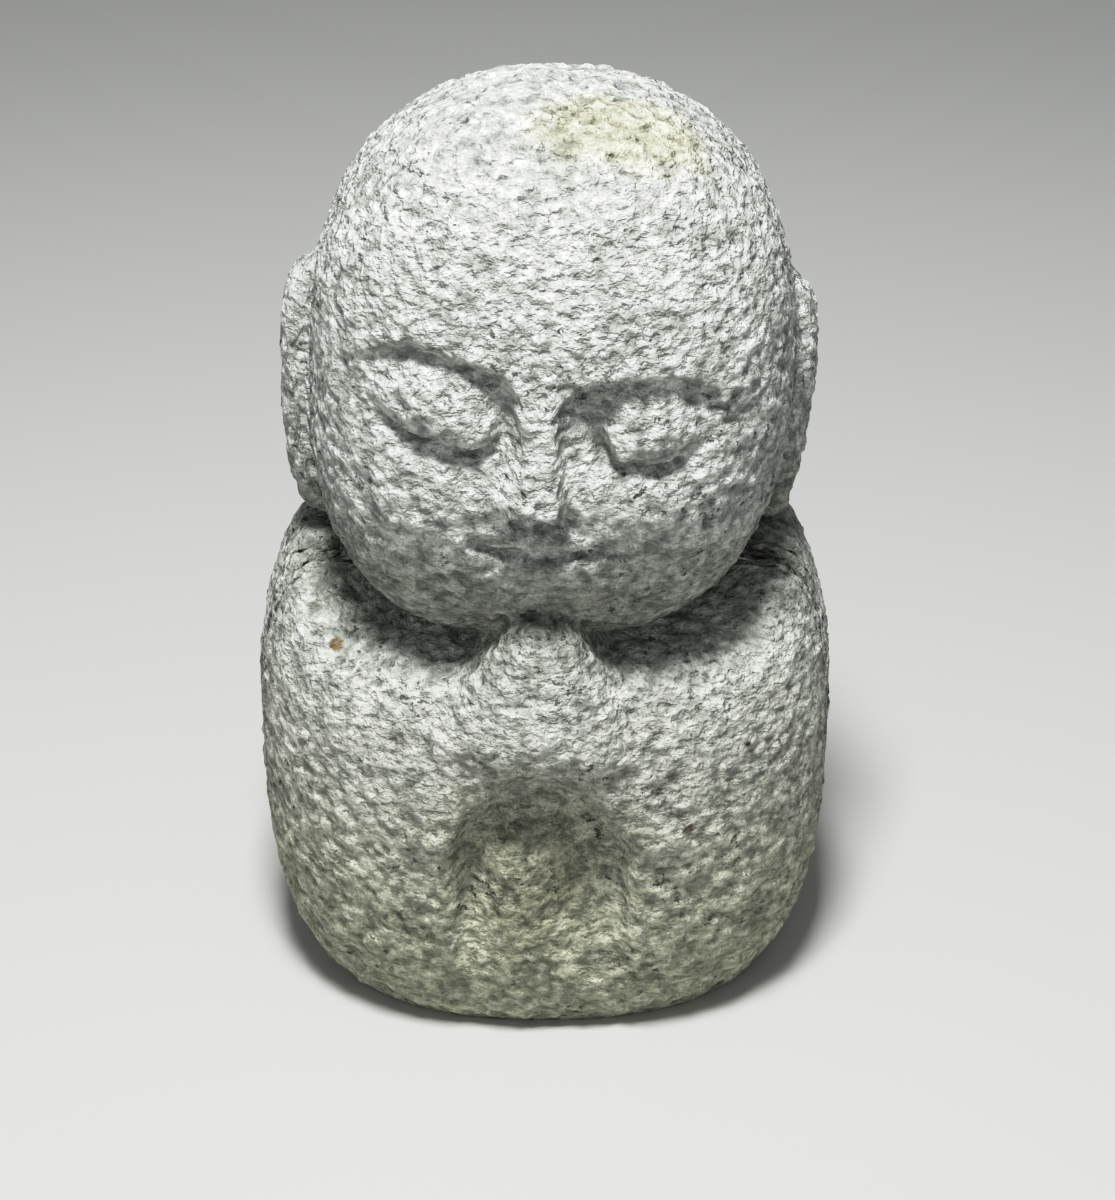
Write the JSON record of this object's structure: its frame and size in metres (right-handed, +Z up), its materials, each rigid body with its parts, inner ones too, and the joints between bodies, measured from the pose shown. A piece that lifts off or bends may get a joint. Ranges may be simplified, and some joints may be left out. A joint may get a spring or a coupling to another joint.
{
  "type": "stone jizo statue",
  "caption": "Small granite statue of a bald child monk with closed eyes and joined hands, carved as one block, standing on its flat underside.",
  "frame": {"origin": "on the surface that the statue stands on, under the middle of its width and depth", "axes": "+Z up through the crown, the face looks along -Y, +X is the statue's left side"},
  "size_m": [0.076, 0.0664, 0.121],
  "materials": {
    "granite": "bush-hammered, rough"
  },
  "bodies": {
    "root": {"jizo_statue": "granite"}
  },
  "joints": []
}
